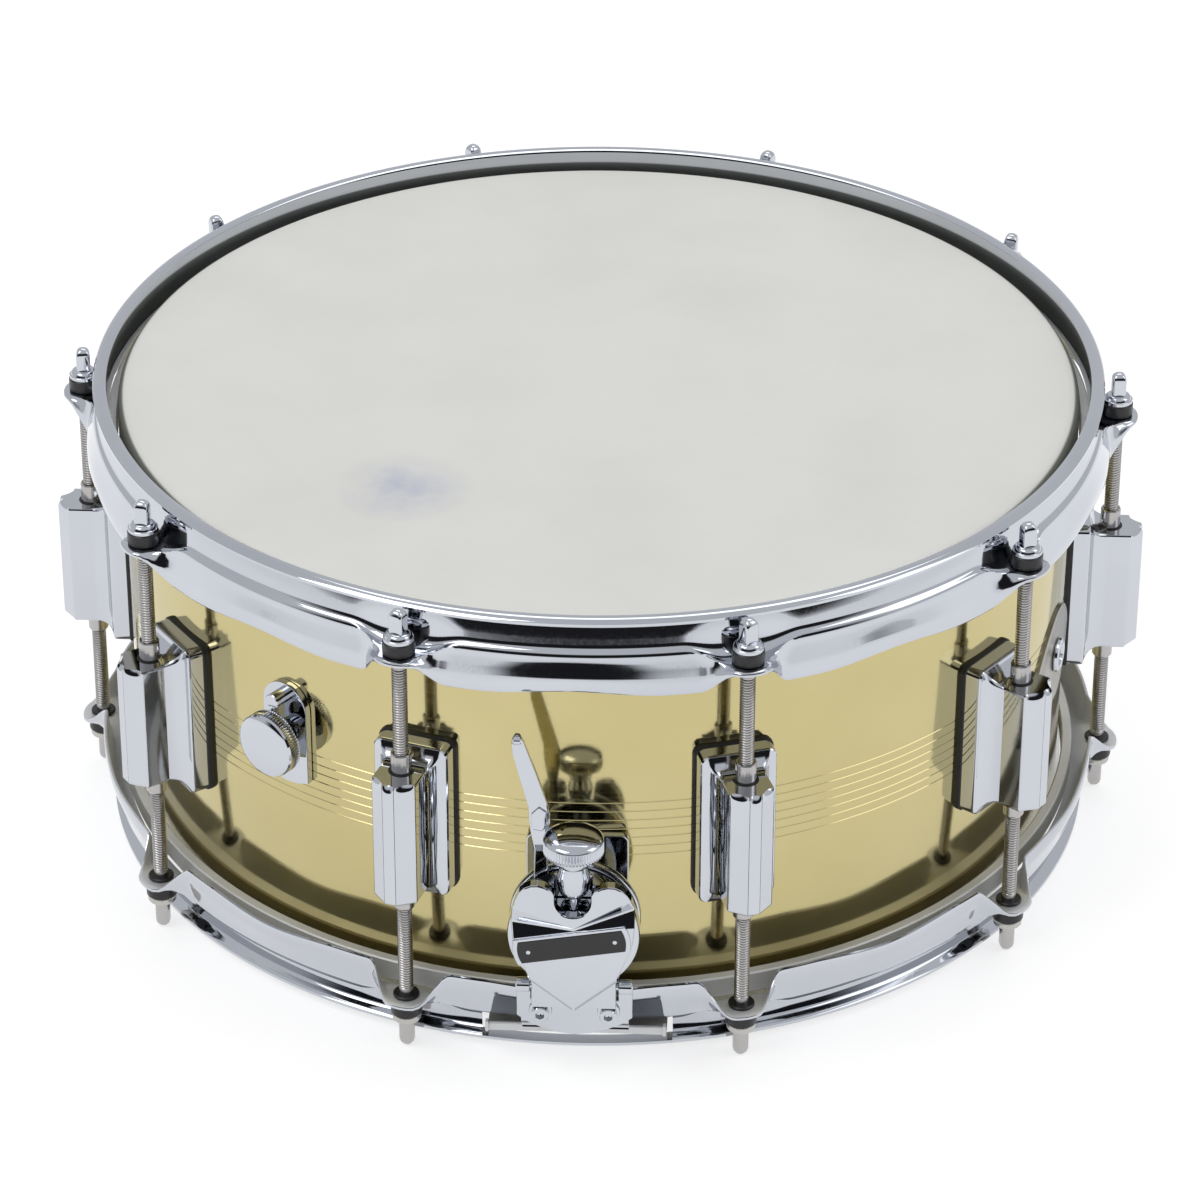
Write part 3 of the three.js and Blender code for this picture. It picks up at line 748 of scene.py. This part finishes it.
LEVER_OUTLINE = [
    (-14.2, -12), (-13.9, 5), (-15.2, 12), (-15.8, 17), (-15.9, 22), (-18.2, 31),
    (-21.2, 43), (-21.6, 47.6), (-21.2, 49.6), (-20.2, 51), (-18.7, 50.8), (-17.4, 48.6),
    (-13.2, 36), (-9.5, 24), (-8.4, 19), (-8.4, 15), (-9.6, 6), (-8.6, -12),
]
LEVER_BORE = 6.4
LEVER_DISC = [
    (LEVER_BORE, 198.6), (20.5, 198.6), (20.85, 198.75), (21, 199.1),
    (21, 200.9), (20.85, 201.25), (20.5, 201.4), (LEVER_BORE, 201.4),
]
thumb = lathe([(0, -1.5), (1.1, -1.5), (1.5, -1.1), (1.5, 1.1), (1.1, 1.5), (0, 1.5)], 20)
shoulder = [(-14.8, 13.5), (-15.0, 19.5), (-12.2, 22.6), (-9.4, 20.5), (-9.0, 15.5), (-11, 12.6)]
lever = [
    (outward(lathe(LEVER_DISC, 96), 0, STRAINER_Z), CHROME),
    (prism(LEVER_OUTLINE, 198.8, 201.2, 0.55), CHROME),
    (prism(shoulder, 200.6, 202.0, 0.6), CHROME),
    (across(thumb, 201.2, 49.2, -19.6), CHROME),
]
strainer_piece("throw_off_arm", lever, "throw_off_lever", ["strainer_lever"])

body_mesh = cut_away(
    mesh_of("strainer_housing", [(strainer_disc(23, 202.2, 209.8, bevel=0.9), CHROME)]),
    [
        block(-15.3, 15.3, 199, 213, -60, -37.5, 0),
        block(-6.8, 6.8, 199, 213, -14.5, 5, 0),
        shift(bar(2.4, -30, 5), 0, -KNOB_R),
    ],
)
place("strainer_housing", body_mesh, "drum", ["strainer_body"], at=(STRAINER_X, 0, 0))

# Radii of the heart's flat, of the deep end of its cuts, of its lower edge and of its back.
FLAT, LOW, EDGE, BACK = 214.3, 211.8, 211.4, 209.9
CENTRE = (0.2, -19.4)
LEFT_CUT = [(-20.9, -11.2), (-15.2, -13.1), (-21.5, -17.6), (-20.9, -23.6)]
RIGHT_CUT = [(20.2, -7.2), (15.9, -9.2), (21.4, -11.4), (21.4, -18.0)]
LOBES = [
    (-20, -8), (-18.5, -4.6), (-16.8, -2.7), (-14.5, -1.6),
    (-12, -1.5), (-9.6, -2.2), (-7.4, -3.6), (-6.4, -5.6),
    *curve_arc(6.4, 0, -8, 180, 360, 14),
    (6.4, -5.6), (7.4, -3.6), (9.6, -2.2), (12, -1.5), (14.5, -1.6), (16.8, -2.7), (18.9, -5.0),
]
RIGHT_SIDE = [(20.8, -24.5), (19.6, -29), (17.4, -34.5), (15.6, -38.4)]
LEFT_SIDE = [(-15.6, -38.4), (-17.4, -34.5), (-19.6, -29), (-20.6, -26)]
INNER_V = [(14.9, -40.2), (0.2, -52.6), (-14.9, -40.2)]
OUTER_V = [(15.4, -43.0), (0.2, -56.0), (-15.4, -43.0)]


def face_plate():
    """The heart-shaped face: flat, with two diamond-cut flats on each side and a chamfered V below."""
    rim = [LEFT_CUT[3], LEFT_CUT[2], LEFT_CUT[0], *LOBES, RIGHT_CUT[0], RIGHT_CUT[2], RIGHT_CUT[3]]
    rim += [*RIGHT_SIDE, *OUTER_V, *LEFT_SIDE]
    lowered = {LEFT_CUT[2]: LOW, RIGHT_CUT[2]: LOW, **{p: EDGE for p in OUTER_V}}
    points, index = [], {}

    def at(p, out=None):
        key = (p, out)
        if key not in index:
            index[key] = len(points)
            points.append((p[0], -(lowered.get(p, FLAT) if out is None else out), p[1]))
        return index[key]

    upper = [CENTRE, LEFT_CUT[1], LEFT_CUT[0], *LOBES, RIGHT_CUT[0], RIGHT_CUT[1]]
    lower = [CENTRE, RIGHT_CUT[3], *RIGHT_SIDE, *INNER_V, *LEFT_SIDE, LEFT_CUT[3]]
    fronts = [upper, lower]
    for cut in (LEFT_CUT, RIGHT_CUT):
        fronts += [[cut[1], cut[0], cut[2]], [CENTRE, cut[1], cut[2]], [CENTRE, cut[2], cut[3]]]
    fronts += [
        [INNER_V[0], OUTER_V[0], OUTER_V[1], INNER_V[1]], [INNER_V[1], OUTER_V[1], OUTER_V[2], INNER_V[2]],
        [RIGHT_SIDE[-1], OUTER_V[0], INNER_V[0]], [LEFT_SIDE[0], INNER_V[2], OUTER_V[2]],
    ]
    faces = [tuple(at(p) for p in front) for front in fronts]
    for i, p in enumerate(rim):
        q = rim[(i + 1) % len(rim)]
        faces.append((at(p), at(q), at(q, BACK), at(p, BACK)))
    faces.append(tuple(at(p, BACK) for p in rim))
    return points, faces


heart = bevelled(face_plate(), 0.45, 2, 40)
strainer_piece("strainer_heart", [(heart, CHROME)], "drum", ["strainer_face"], crease=12)


def band_outline(half, rise, bow):
    """A band with gently bowed ends."""
    ends = [(half - bow * (k / 4) ** 2, rise * k / 4) for k in range(-4, 5)]
    return ends + [(-x, -z) for x, z in ends]


tilt = Matrix.Translation((-0.35, 0, -25.8)) @ Matrix.Rotation(radians(-9.8), 4, "Y")
band = [
    (moved(prism(band_outline(19.0, 4.3, 0.8), 215.1, 215.62, 0.12), tilt), ENAMEL),
    (moved(prism(band_outline(20.6, 5.4, 1.0), 214.2, 215.25, 0.3), tilt), CHROME),
]
for x in (-15.2, 15.2):
    dot = outward(lathe([(0, 215.4), (0.75, 215.4), (0.75, 215.66), (0.5, 215.74), (0, 215.74)], 24))
    band.append((moved(shift(dot, x), tilt), CHROME))
strainer_piece("strainer_nameless_band", band, "drum", ["strainer_band"])


def knurl(teeth, depth, low, high, minimum):
    def ripple(t, r, z):
        return r - depth * abs(sin(teeth * t / 2)) if r > minimum and low < z < high else r

    return ripple


knob_profile = [
    (0, -19), (1.9, -18.6), (1.9, -9.2), (3.6, -8.8), (4.8, -7.6), (5.6, -5.6), (5.85, -3),
    (5.6, -0.2), (4.9, 2.2), (4.9, 3.4), (5.7, 4.2), (6.0, 5.4), (6.0, 8.2), (9.6, 8.5),
    (10.3, 8.8), (10.5, 9.3), (10.5, 9.8), (10.5, 11.5), (10.5, 13.4), (10.5, 13.9),
    (10.2, 14.5), (9.4, 15.1), (7.4, 15.9), (4.6, 16.6), (2, 16.95), (0, 17),
]
knob = lathe(knob_profile, 300, knurl(60, 0.5, 9.5, 13.6, 10))
knob_parts = [(shift(knob, 0, -KNOB_R), CHROME)]
strainer_piece("strainer_thumb_knob", knob_parts, "strainer_knob", ["strainer_knob"], even=False)

pin_profile = [(0, -20.6), (1.0, -20.6), (1.3, -20.3), (1.3, 20.3), (1.0, 20.6), (0, 20.6)]
pins = across(lathe(pin_profile, 20), KNUCKLE_R, KNUCKLE_Z)
slide = block(-14.8, 14.8, 202.6, 208.8, -56.4, -41, 0.6)
slide_parts = [(slide, CHROME), (pins, CHROME)]
strainer_piece("strainer_slide", slide_parts, "strainer_carriage", ["strainer_carriage"])


# ---- snares ----
def knuckle(x0, x1):
    profile = [(1.6, x0), (2.3, x0), (2.6, x0 + 0.3), (2.6, x1 - 0.3), (2.3, x1), (1.6, x1)]
    return across(lathe(profile, 28), KNUCKLE_R, KNUCKLE_Z)


CLAMP_OUTLINE = [
    (-20.4, -50.8), (-15.4, -50.8), (-15.4, -57.4), (15.4, -57.4), (15.4, -50.8),
    (20.4, -50.8), (20.4, -64.6), (16.4, -67.5), (12, -69.6), (6, -71.6),
    (0, -72.4), (-6, -71.6), (-12, -69.6), (-16.4, -67.5), (-20.4, -64.6),
]
clamp = [
    (prism(CLAMP_OUTLINE, CLAMP_R, CLAMP_R + CLAMP_THICK, 0.35), CHROME),
    (knuckle(-20.4, -15.5), CHROME), (knuckle(15.5, 20.4), CHROME),
]
strainer_piece("snare_clamp", clamp, "snares", ["snare_clamp_plate"])


def hexagon(radius, count=24):
    """A hexagon's outline at evenly spread angles, so that it lofts to a circle."""
    points = []
    for i in range(count):
        t = 2 * pi * i / count
        sector = (t + pi / 6) % (pi / 3) - pi / 6
        q = radius * cos(pi / 6) / cos(sector)
        points.append((q * cos(t), q * sin(t)))
    return points


def screw(x, z, length):
    """A cap screw with a flanged head and a hexagonal socket, pointing outwards."""
    near = CLAMP_R + 1.9
    loops = []
    outside = [
        (1.7, -length), (1.7, 0), (4.0, 0), (4.1, 0.25), (3.9, 0.7), (3.1, 0.9), (3.1, 3.4),
        (2.8, 3.8), (2.1, 3.9),
    ]
    for r, out in outside:
        loops.append([(r * cos(2 * pi * i / 24), r * sin(2 * pi * i / 24), near + out) for i in range(24)])
    for r, out in ((1.75, 3.75), (1.65, 1.6), (0.3, 1.3)):
        loops.append([(px, py, near + out) for px, py in hexagon(r)])
    return outward(loft(loops), x, z)


for i, x in enumerate((-12, 12)):
    bolt = [(screw(x, CLAMP_SCREW_Z, 3.8), CHROME)]
    strainer_piece(f"snare_clamp_bolt_{i + 1}", bolt, "snares", [f"snare_clamp_screw_{i + 1}"])
    bolt = mesh_of(f"butt_bolt_{i + 1}", [(screw(x, BUTT_SCREW_Z, 14), CHROME)])
    place(f"butt_bolt_{i + 1}", bolt, "drum", [f"butt_screw_{i + 1}"], azimuth=180)


def strap(rise):
    """A wide foot under the hoop's lip, with a narrower tab that turns up into the clamp."""
    foot, tab = STRAP_FOOT_R, STRAP_TAB_R
    sheet = [
        (160.3, WIRE_Z - 0.45), (180.4, WIRE_Z - 0.45), (184.4, -82.3), (188, -80.2),
        (193.4, -77.3), (foot + 1.1, -76.6), (foot + 1.3, -76.3), (foot + 1.3, -73.7),
        (foot + 1.1, -73.4), (foot + 0.2, -73.4), (foot, -73.7), (foot, -75.8),
        (187.6, -79.2), (184, -81.4), (180, WIRE_Z + 0.5), (160.3, WIRE_Z + 0.5),
    ]
    rising = [
        (foot, -74.8), (foot, -72.9), (foot + 0.4, -72.1), (tab - 0.4, -68.1),
        (tab, -67.3), (tab, rise), (tab + 1.3, rise), (tab + 1.3, -67.7),
        (tab + 0.9, -68.6), (foot + 1.6, -72.7), (foot + 1.3, -73.4), (foot + 1.3, -74.8),
    ]
    parts = [(sideways(sheet, -32, 32, 0.15), SATIN), (sideways(rising, -19, 19, 0.15), CHROME)]
    for x in (-31.4, 31.4):
        parts.append((block(x - 0.6, x + 0.6, foot + 0.1, foot + 2.4, -76.5, -72.2, 0.3), SATIN))
    return parts


strainer_piece("snare_strap_front", strap(-57.8), "snares", ["snare_strap"])
rear_strap = mesh_of("snare_strap_rear", strap(-43))
place("snare_strap_rear", rear_strap, "snares", ["snare_rear_strap"], azimuth=180)


def coil(x, half, turns=112, steps=8, sides=5, radius=0.62, wire=0.24):
    """One coiled snare wire, lying along Y."""
    points, faces = [], []
    total = turns * steps
    for n in range(total + 1):
        t = 2 * pi * n / steps
        y = -half + 2 * half * n / total
        for k in range(sides):
            a = 2 * pi * k / sides
            r = radius + wire * cos(a)
            points.append((x + r * cos(t), y + wire * sin(a), WIRE_Z + r * sin(t)))
    for n in range(total):
        for k in range(sides):
            a, b = n * sides, (n + 1) * sides
            j = (k + 1) % sides
            faces.append((a + k, a + j, b + j, b + k))
    return points, faces


WIRES = 20
WIRE_PITCH = 3.2
wires = [(coil(WIRE_PITCH * i - 30.4, 148.5), STEEL) for i in range(WIRES)]
for end in (-1, 1):
    plate = prism(rounded(32.4, 6.6, 1.2), -0.35, 0.35, 0.15)
    flat = moved(plate, Matrix.Translation((0, end * 153.4, WIRE_Z)) @ Matrix.Rotation(pi / 2, 4, "X"))
    wires.append((flat, CHROME))
wire_mesh = mesh_of("snare_wire_coils", wires, crease=60)
place("snare_wire_coils", wire_mesh, "snares", ["snare_wires"], even=False)


# ---- butt end ----
butt = [
    (shift(prism(rounded(18, 15.5, 2.5), 178.0, 181.3, 0.6), z=-45.5), CHROME),
    (shift(prism(rounded(19, 9.5, 2.0), 180, 198.4, 0.9), z=-51.5), CHROME),
]
place("butt_housing", mesh_of("butt_housing", butt), "drum", ["butt_block"], azimuth=180)
BUTT_OUTLINE = [
    (-20.4, -43), (-20.4, -61), (-16.5, -63.6), (-12, -65.5), (-6, -66.7),
    (0, -67), (6, -66.7), (12, -65.5), (16.5, -63.6), (20.4, -61),
    (20.4, -43), (19, -41.2), (14, -40), (-14, -40), (-19, -41.2),
]
butt_plate = mesh_of("butt_clamp", [(prism(BUTT_OUTLINE, CLAMP_R, CLAMP_R + CLAMP_THICK, 0.35), CHROME)])
place("butt_clamp", butt_plate, "drum", ["butt_plate"], azimuth=180)


# ---- muffler ----
plate_outline = [*curve_arc(10, 0, 26, 0, 180, 24), (-10, -2.6), (-5, -4.3), (0, -4.9), (5, -4.3), (10, -2.6)]
post_profile = [(0, 180), (2.8, 180), (2.8, 186.4), (2.5, 186.8), (0, 187)]
muffler = [
    (prism(plate_outline, 177.4, 180.2, 0.5), CHROME),
    (outward(lathe(post_profile, 32), 0, 31.4), CHROME),
]
place("muffler_face", mesh_of("muffler_face", muffler), "drum", ["muffler_plate"], azimuth=MUFFLER_AZ)

dial_profile = [
    (0, 167), (4.6, 167), (4.6, 169.2), (1.9, 169.4), (1.9, 181), (5, 181), (5, 185.2),
    (11.2, 185.3), (11.9, 185.7), (12, 186.2), (12, 186.4), (12, 188.4), (12, 190.3),
    (12, 190.5), (11.6, 191.3), (10.6, 191.9), (8, 192.4), (4, 192.7), (0, 192.8),
]
dial = outward(lathe(dial_profile, 300, knurl(75, 0.3, 186.3, 190.4, 11.9)), 0, MUFFLER_Z)
dial_mesh = mesh_of("muffler_dial", [(dial, CHROME)])
place("muffler_dial", dial_mesh, "muffler_knob", ["muffler_knob"], azimuth=MUFFLER_AZ, even=False)

arm_outline = [
    (172.4, 4), (172.4, 65), (172.2, 66.4), (171.6, 67.4), (170.6, 67.9), (132, 68),
    (132, 66.2), (168.6, 66.1), (169.7, 65.7), (170.1, 64.6), (170.1, 4),
]
arm = [(sideways(arm_outline, -8, 8, 0.4), STEEL)]
place("muffler_bracket", mesh_of("muffler_bracket", arm), "muffler_arm", ["muffler_arm"], azimuth=MUFFLER_AZ)


def felt_pad():
    """A felt block with soft edges, slightly uneven all over."""
    bm = bmesh.new()
    bmesh.ops.create_cube(bm, size=1)
    bmesh.ops.scale(bm, vec=(40, 24, 8.2), verts=bm.verts[:])
    bmesh.ops.bevel(bm, geom=bm.edges[:], offset=1.6, segments=4, profile=0.5, affect="EDGES")
    long_edges = [e for e in bm.edges if e.calc_length() > 3]
    bmesh.ops.subdivide_edges(bm, edges=long_edges, cuts=9, use_grid_fill=True)
    bmesh.ops.translate(bm, vec=(0, -146, 72.4), verts=bm.verts[:])
    bm.normal_update()
    for v in bm.verts:
        v.co += v.normal * (0.22 * noise.noise(v.co * 0.6) - 0.25)
    bm.verts.index_update()
    shape = [tuple(v.co) for v in bm.verts], [tuple(v.index for v in f.verts) for f in bm.faces]
    bm.free()
    return shape


pad_mesh = mesh_of("muffler_felt", [(felt_pad(), FELT)])
pad = place("muffler_felt", pad_mesh, "muffler_arm", ["muffler_pad"], azimuth=MUFFLER_AZ)


# ---- badge and vent grommet ----
# Each ring is its share of the badge's outline and its radius from the drum's axis.
BADGE_RINGS = [
    (0.0, 178.5), (0.5, 178.5), (0.86, 178.45), (0.9, 178.75), (0.97, 178.75), (1.0, 178.5), (1.0, 177.2),
]


BADGE_HALF_WIDTH = 27
BADGE_HALF_HEIGHT = 19


def badge_shape():
    """A pointed oval that follows the shell, raised a little towards its rim."""
    rings = []
    for scale, out in BADGE_RINGS:
        ring = []
        for i in range(72):
            t = 2 * pi * i / 72
            u = cos(t)
            rise = BADGE_HALF_HEIGHT * (1 - u * u) * (1 if sin(t) >= 0 else -1)
            x, z = BADGE_HALF_WIDTH * u * max(scale, 0.15), rise * max(scale, 0.15)
            ring.append((out * sin(x / SHELL_R), -out * cos(x / SHELL_R), z + BADGE_Z))
        rings.append(ring)
    return loft(rings)


badge_mesh = mesh_of("vent_plaque", [(badge_shape(), BADGE_METAL)])
place("vent_plaque", badge_mesh, "drum", ["vent_badge"], azimuth=BADGE_AZ, even=False)
eyelet = [
    (3.2, 173), (4.6, 173), (4.6, 178.6), (6.3, 178.6), (6.6, 179.2),
    (6.2, 180), (5.2, 180.5), (4.0, 180.3), (3.2, 179.4),
]
eyelet_mesh = mesh_of("vent_eyelet", [(outward(lathe(eyelet, 48), 0, BADGE_Z), CHROME)])
place("vent_eyelet", eyelet_mesh, "drum", ["vent_grommet"], azimuth=BADGE_AZ, even=False)


# ---- floor, light and camera ----
def floor():
    n = Nodes("pale_floor", Roughness=0.9, Emission_Strength=0.66)
    n.shader.inputs["Emission Color"].default_value = (1, 1, 1, 1)
    n.set("Base Color", n.mix(n.range(n.noise(3), 0, 1), (0.5, 0.5, 0.5, 1), (0.47, 0.47, 0.47, 1)))
    mesh = bpy.data.meshes.new("floor")
    s, z = 9.0, (FLOOR_Z - HEAD_Z) / 1000
    mesh.from_pydata([(-s, -s, z), (s, -s, z), (s, s, z), (-s, s, z)], [], [(0, 1, 2, 3)])
    mesh.materials.append(n.material)
    plane = bpy.data.objects.new("floor", mesh)
    bpy.context.scene.collection.objects.link(plane)


def surroundings():
    """Even light, but dark in front of the drum, from the horizon to some 22 degrees up, fading by 34."""
    world = bpy.data.worlds.new("studio")
    bpy.context.scene.world = world
    world.use_nodes = True
    tree = world.node_tree
    direction = tree.nodes.new("ShaderNodeSeparateXYZ")
    tree.links.new(tree.nodes.new("ShaderNodeTexCoord").outputs["Generated"], direction.inputs[0])

    def ease(axis, low, high):
        node = tree.nodes.new("ShaderNodeMapRange")
        node.interpolation_type = "SMOOTHSTEP"
        tree.links.new(direction.outputs[axis], node.inputs["Value"])
        node.inputs["From Min"].default_value, node.inputs["From Max"].default_value = sorted((low, high))
        ends = (0, 1) if low < high else (1, 0)
        node.inputs["To Min"].default_value, node.inputs["To Max"].default_value = ends
        return node.outputs["Result"]

    def times(a, b):
        node = tree.nodes.new("ShaderNodeMath")
        node.operation = "MULTIPLY"
        tree.links.new(a, node.inputs[0])
        tree.links.new(b, node.inputs[1])
        return node.outputs[0]

    dark = times(times(ease("Z", -0.02, 0.02), ease("Z", 0.56, 0.38)), ease("Y", -0.36, -0.6))
    blend = tree.nodes.new("ShaderNodeMix")
    blend.data_type = "RGBA"
    tree.links.new(dark, blend.inputs[0])
    blend.inputs[6].default_value = (0.68, 0.69, 0.71, 1)
    blend.inputs[7].default_value = (0.015, 0.015, 0.017, 1)
    tree.links.new(blend.outputs[2], tree.nodes["Background"].inputs["Color"])


def softbox(name, at, size, power, aim=(0, 0, -0.08)):
    light = bpy.data.lights.new(name, "AREA")
    light.shape = "RECTANGLE"
    light.size, light.size_y = size
    light.energy = power
    lamp = bpy.data.objects.new(name, light)
    bpy.context.scene.collection.objects.link(lamp)
    lamp.location = at
    lamp.rotation_euler = (Vector(aim) - Vector(at)).to_track_quat("-Z", "Y").to_euler()


floor()
surroundings()
softbox("key", (-1.1, -0.9, 1.9), (1.4, 1.0), 12)
softbox("fill", (1.6, -0.3, 1.2), (0.8, 1.2), 4)
softbox("top", (0.1, 0.9, 2.0), (1.6, 0.8), 6)


CAMERA_AZIMUTH, CAMERA_ELEVATION, CAMERA_ROLL = 2.652, 30.387, 0.122  # degrees
CAMERA_DISTANCE = 1.84076  # metres from the middle of the shell
CAMERA_LENS, SENSOR = 144.92, 36
CAMERA_SHIFT = (0.00136, -0.0269)


def camera():
    a, e, roll = radians(CAMERA_AZIMUTH), radians(CAMERA_ELEVATION), radians(CAMERA_ROLL)
    back = Vector((sin(a) * cos(e), -cos(a) * cos(e), sin(e)))
    right = Vector((cos(a), sin(a), 0))
    up = back.cross(right)
    side, top = right * cos(roll) + up * sin(roll), up * cos(roll) - right * sin(roll)
    data = bpy.data.cameras.new("camera")
    data.lens, data.sensor_width = CAMERA_LENS, SENSOR
    data.shift_x, data.shift_y = CAMERA_SHIFT
    data.clip_end = 50
    view = bpy.data.objects.new("camera", data)
    bpy.context.scene.collection.objects.link(view)
    turn = Matrix((side, top, back)).transposed().to_4x4()
    middle = Vector((0, 0, -HEAD_Z / 1000))
    view.matrix_world = Matrix.Translation(middle + back * CAMERA_DISTANCE) @ turn
    bpy.context.scene.camera = view


camera()
bpy.context.scene.view_settings.view_transform = "Standard"
